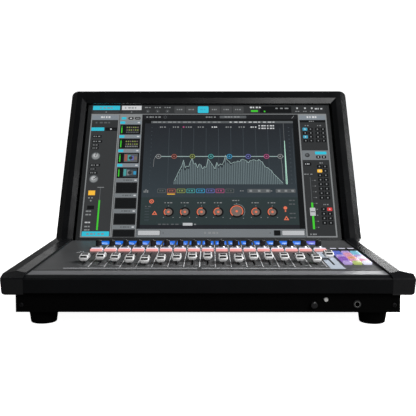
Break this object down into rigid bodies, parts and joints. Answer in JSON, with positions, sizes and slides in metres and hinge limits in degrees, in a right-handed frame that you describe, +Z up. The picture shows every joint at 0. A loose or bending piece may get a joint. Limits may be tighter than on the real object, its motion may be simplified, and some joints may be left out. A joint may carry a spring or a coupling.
{
  "type": "mixing console",
  "caption": "Desktop mixing console with a level control deck of faders, knobs and lit keys, and a large fixed touch screen leaning back behind it.",
  "frame": {"origin": "centre of the footprint, at the underside of the rubber feet", "axes": "+X to the operator's right, +Y from the front rail to the back, +Z up"},
  "size_m": [0.566, 0.562, 0.3703],
  "materials": {
    "moulding": "satin near-black moulding",
    "deck_finish": "fine-textured dark deck paint",
    "black_steel": "matte black powder coat",
    "screen_glass": "clear cover glass with a black border",
    "screen_module": "backlit colour display",
    "small_display": "backlit blue window",
    "circuit_board": "green board",
    "bare_metal": "brushed",
    "socket_black": "moulded black",
    "nickel": "nickel plated",
    "foot_rubber": "matte rubber",
    "screw_steel": "black oxide",
    "lit_key_white": "backlit translucent key",
    "lit_key_red": "backlit translucent key",
    "lit_key_colour": "backlit translucent key",
    "knob_black": "semi-gloss black",
    "button_white": "white",
    "fader_silver": "satin silver cap"
  },
  "bodies": {
    "console": {"right_cheek": "moulding", "left_cheek": "moulding", "front_rail": "moulding", "deck_panel": "deck_finish", "chassis_pan": "black_steel", "rear_panel": "black_steel", "screen_back_cover": "black_steel", "screen_top_rail": "moulding", "touch_glass": "screen_glass", "lcd_panel": "screen_module", "channel_displays": "small_display", "fader_tracks": "black_steel", "control_board": "circuit_board", "main_board": "circuit_board", "power_supply": "bare_metal", "rear_sockets": "socket_black", "mains_inlet": "socket_black", "phones_jack": "nickel", "rubber_feet": "foot_rubber", "screws": "screw_steel"},
    "fader_01": {"fader_01": "fader_silver"},
    "fader_02": {"fader_02": "fader_silver"},
    "fader_03": {"fader_03": "fader_silver"},
    "fader_04": {"fader_04": "fader_silver"},
    "fader_05": {"fader_05": "fader_silver"},
    "fader_06": {"fader_06": "fader_silver"},
    "fader_07": {"fader_07": "fader_silver"},
    "fader_08": {"fader_08": "fader_silver"},
    "fader_09": {"fader_09": "fader_silver"},
    "fader_10": {"fader_10": "fader_silver"},
    "fader_11": {"fader_11": "fader_silver"},
    "fader_12": {"fader_12": "fader_silver"},
    "fader_13": {"fader_13": "fader_silver"},
    "fader_14": {"fader_14": "fader_silver"},
    "fader_15": {"fader_15": "fader_silver"},
    "fader_16": {"fader_16": "fader_silver"},
    "fader_master": {"fader_master": "fader_silver"},
    "encoder_01": {"encoder_01": "knob_black"},
    "encoder_02": {"encoder_02": "knob_black"},
    "encoder_03": {"encoder_03": "knob_black"},
    "encoder_04": {"encoder_04": "knob_black"},
    "encoder_05": {"encoder_05": "knob_black"},
    "encoder_06": {"encoder_06": "knob_black"},
    "encoder_07": {"encoder_07": "knob_black"},
    "encoder_08": {"encoder_08": "knob_black"},
    "encoder_09": {"encoder_09": "knob_black"},
    "encoder_10": {"encoder_10": "knob_black"},
    "encoder_11": {"encoder_11": "knob_black"},
    "encoder_12": {"encoder_12": "knob_black"},
    "encoder_13": {"encoder_13": "knob_black"},
    "encoder_14": {"encoder_14": "knob_black"},
    "encoder_15": {"encoder_15": "knob_black"},
    "encoder_16": {"encoder_16": "knob_black"},
    "encoder_master": {"encoder_master": "knob_black"},
    "mute_keys": {"mute_keys": "lit_key_white"},
    "select_keys": {"select_keys": "lit_key_red"},
    "user_keys": {"user_keys": "lit_key_colour"},
    "volume_knob": {"volume_knob": "knob_black"},
    "front_button": {"front_button": "button_white"},
    "power_switch": {"power_switch": "knob_black"}
  },
  "joints": [
    {"name": "fader_01_slide", "type": "slide", "parent": "console", "child": "fader_01", "axis": [0, 0.9995, 0.0309], "range_m": [-0.02, 0.08]},
    {"name": "fader_02_slide", "type": "slide", "parent": "console", "child": "fader_02", "axis": [0, 0.9995, 0.0309], "range_m": [-0.03, 0.07]},
    {"name": "fader_03_slide", "type": "slide", "parent": "console", "child": "fader_03", "axis": [0, 0.9995, 0.0309], "range_m": [-0.02, 0.08]},
    {"name": "fader_04_slide", "type": "slide", "parent": "console", "child": "fader_04", "axis": [0, 0.9995, 0.0309], "range_m": [-0.008, 0.092]},
    {"name": "fader_05_slide", "type": "slide", "parent": "console", "child": "fader_05", "axis": [0, 0.9995, 0.0309], "range_m": [-0.001, 0.099]},
    {"name": "fader_06_slide", "type": "slide", "parent": "console", "child": "fader_06", "axis": [0, 0.9995, 0.0309], "range_m": [-0.01, 0.09]},
    {"name": "fader_07_slide", "type": "slide", "parent": "console", "child": "fader_07", "axis": [0, 0.9995, 0.0309], "range_m": [-0.02, 0.08]},
    {"name": "fader_08_slide", "type": "slide", "parent": "console", "child": "fader_08", "axis": [0, 0.9995, 0.0309], "range_m": [-0.03, 0.07]},
    {"name": "fader_09_slide", "type": "slide", "parent": "console", "child": "fader_09", "axis": [0, 0.9995, 0.0309], "range_m": [-0.032, 0.068]},
    {"name": "fader_10_slide", "type": "slide", "parent": "console", "child": "fader_10", "axis": [0, 0.9995, 0.0309], "range_m": [-0.016, 0.084]},
    {"name": "fader_11_slide", "type": "slide", "parent": "console", "child": "fader_11", "axis": [0, 0.9995, 0.0309], "range_m": [-0.012, 0.088]},
    {"name": "fader_12_slide", "type": "slide", "parent": "console", "child": "fader_12", "axis": [0, 0.9995, 0.0309], "range_m": [-0.03, 0.07]},
    {"name": "fader_13_slide", "type": "slide", "parent": "console", "child": "fader_13", "axis": [0, 0.9995, 0.0309], "range_m": [-0.032, 0.068]},
    {"name": "fader_14_slide", "type": "slide", "parent": "console", "child": "fader_14", "axis": [0, 0.9995, 0.0309], "range_m": [-0.027, 0.073]},
    {"name": "fader_15_slide", "type": "slide", "parent": "console", "child": "fader_15", "axis": [0, 0.9995, 0.0309], "range_m": [-0.023, 0.077]},
    {"name": "fader_16_slide", "type": "slide", "parent": "console", "child": "fader_16", "axis": [0, 0.9995, 0.0309], "range_m": [-0.011, 0.089]},
    {"name": "fader_master_slide", "type": "slide", "parent": "console", "child": "fader_master", "axis": [0, 0.9995, 0.0309], "range_m": [-0.049, 0.051]},
    {"name": "encoder_01_turn", "type": "hinge", "parent": "console", "child": "encoder_01", "pos_m": [-0.1864, -0.03062, 0.07764], "axis": [0, -0.0309, 0.9995], "continuous": true},
    {"name": "encoder_02_turn", "type": "hinge", "parent": "console", "child": "encoder_02", "pos_m": [-0.1632, -0.03062, 0.07764], "axis": [0, -0.0309, 0.9995], "continuous": true},
    {"name": "encoder_03_turn", "type": "hinge", "parent": "console", "child": "encoder_03", "pos_m": [-0.14, -0.03062, 0.07764], "axis": [0, -0.0309, 0.9995], "continuous": true},
    {"name": "encoder_04_turn", "type": "hinge", "parent": "console", "child": "encoder_04", "pos_m": [-0.1168, -0.03062, 0.07764], "axis": [0, -0.0309, 0.9995], "continuous": true},
    {"name": "encoder_05_turn", "type": "hinge", "parent": "console", "child": "encoder_05", "pos_m": [-0.0936, -0.03062, 0.07764], "axis": [0, -0.0309, 0.9995], "continuous": true},
    {"name": "encoder_06_turn", "type": "hinge", "parent": "console", "child": "encoder_06", "pos_m": [-0.0704, -0.03062, 0.07764], "axis": [0, -0.0309, 0.9995], "continuous": true},
    {"name": "encoder_07_turn", "type": "hinge", "parent": "console", "child": "encoder_07", "pos_m": [-0.0472, -0.03062, 0.07764], "axis": [0, -0.0309, 0.9995], "continuous": true},
    {"name": "encoder_08_turn", "type": "hinge", "parent": "console", "child": "encoder_08", "pos_m": [-0.024, -0.03062, 0.07764], "axis": [0, -0.0309, 0.9995], "continuous": true},
    {"name": "encoder_09_turn", "type": "hinge", "parent": "console", "child": "encoder_09", "pos_m": [-0.0008, -0.03062, 0.07764], "axis": [0, -0.0309, 0.9995], "continuous": true},
    {"name": "encoder_10_turn", "type": "hinge", "parent": "console", "child": "encoder_10", "pos_m": [0.0224, -0.03062, 0.07764], "axis": [0, -0.0309, 0.9995], "continuous": true},
    {"name": "encoder_11_turn", "type": "hinge", "parent": "console", "child": "encoder_11", "pos_m": [0.0456, -0.03062, 0.07764], "axis": [0, -0.0309, 0.9995], "continuous": true},
    {"name": "encoder_12_turn", "type": "hinge", "parent": "console", "child": "encoder_12", "pos_m": [0.0688, -0.03062, 0.07764], "axis": [0, -0.0309, 0.9995], "continuous": true},
    {"name": "encoder_13_turn", "type": "hinge", "parent": "console", "child": "encoder_13", "pos_m": [0.092, -0.03062, 0.07764], "axis": [0, -0.0309, 0.9995], "continuous": true},
    {"name": "encoder_14_turn", "type": "hinge", "parent": "console", "child": "encoder_14", "pos_m": [0.1152, -0.03062, 0.07764], "axis": [0, -0.0309, 0.9995], "continuous": true},
    {"name": "encoder_15_turn", "type": "hinge", "parent": "console", "child": "encoder_15", "pos_m": [0.1384, -0.03062, 0.07764], "axis": [0, -0.0309, 0.9995], "continuous": true},
    {"name": "encoder_16_turn", "type": "hinge", "parent": "console", "child": "encoder_16", "pos_m": [0.1616, -0.03062, 0.07764], "axis": [0, -0.0309, 0.9995], "continuous": true},
    {"name": "encoder_master_turn", "type": "hinge", "parent": "console", "child": "encoder_master", "pos_m": [0.1865, -0.03062, 0.07764], "axis": [0, -0.0309, 0.9995], "continuous": true},
    {"name": "mute_keys_press", "type": "slide", "parent": "console", "child": "mute_keys", "axis": [0, 0.0309, -0.9995], "range_m": [0, 0.001], "stiffness_N_per_m": 300, "springref_m": -0.002},
    {"name": "select_keys_press", "type": "slide", "parent": "console", "child": "select_keys", "axis": [0, 0.0309, -0.9995], "range_m": [0, 0.001], "stiffness_N_per_m": 300, "springref_m": -0.002},
    {"name": "user_keys_press", "type": "slide", "parent": "console", "child": "user_keys", "axis": [0, 0.0309, -0.9995], "range_m": [0, 0.001], "stiffness_N_per_m": 300, "springref_m": -0.002},
    {"name": "volume_turn", "type": "hinge", "parent": "console", "child": "volume_knob", "pos_m": [0.144, -0.2702, 0.0315], "axis": [0, -1, 0], "range_deg": [0, 300]},
    {"name": "front_button_press", "type": "slide", "parent": "console", "child": "front_button", "axis": [0, 1, 0], "range_m": [0, 0.0015], "stiffness_N_per_m": 300, "springref_m": -0.001},
    {"name": "power_rock", "type": "hinge", "parent": "console", "child": "power_switch", "pos_m": [-0.176, 0.271, 0.07], "axis": [1, 0, 0], "range_deg": [-16, 0]}
  ]
}
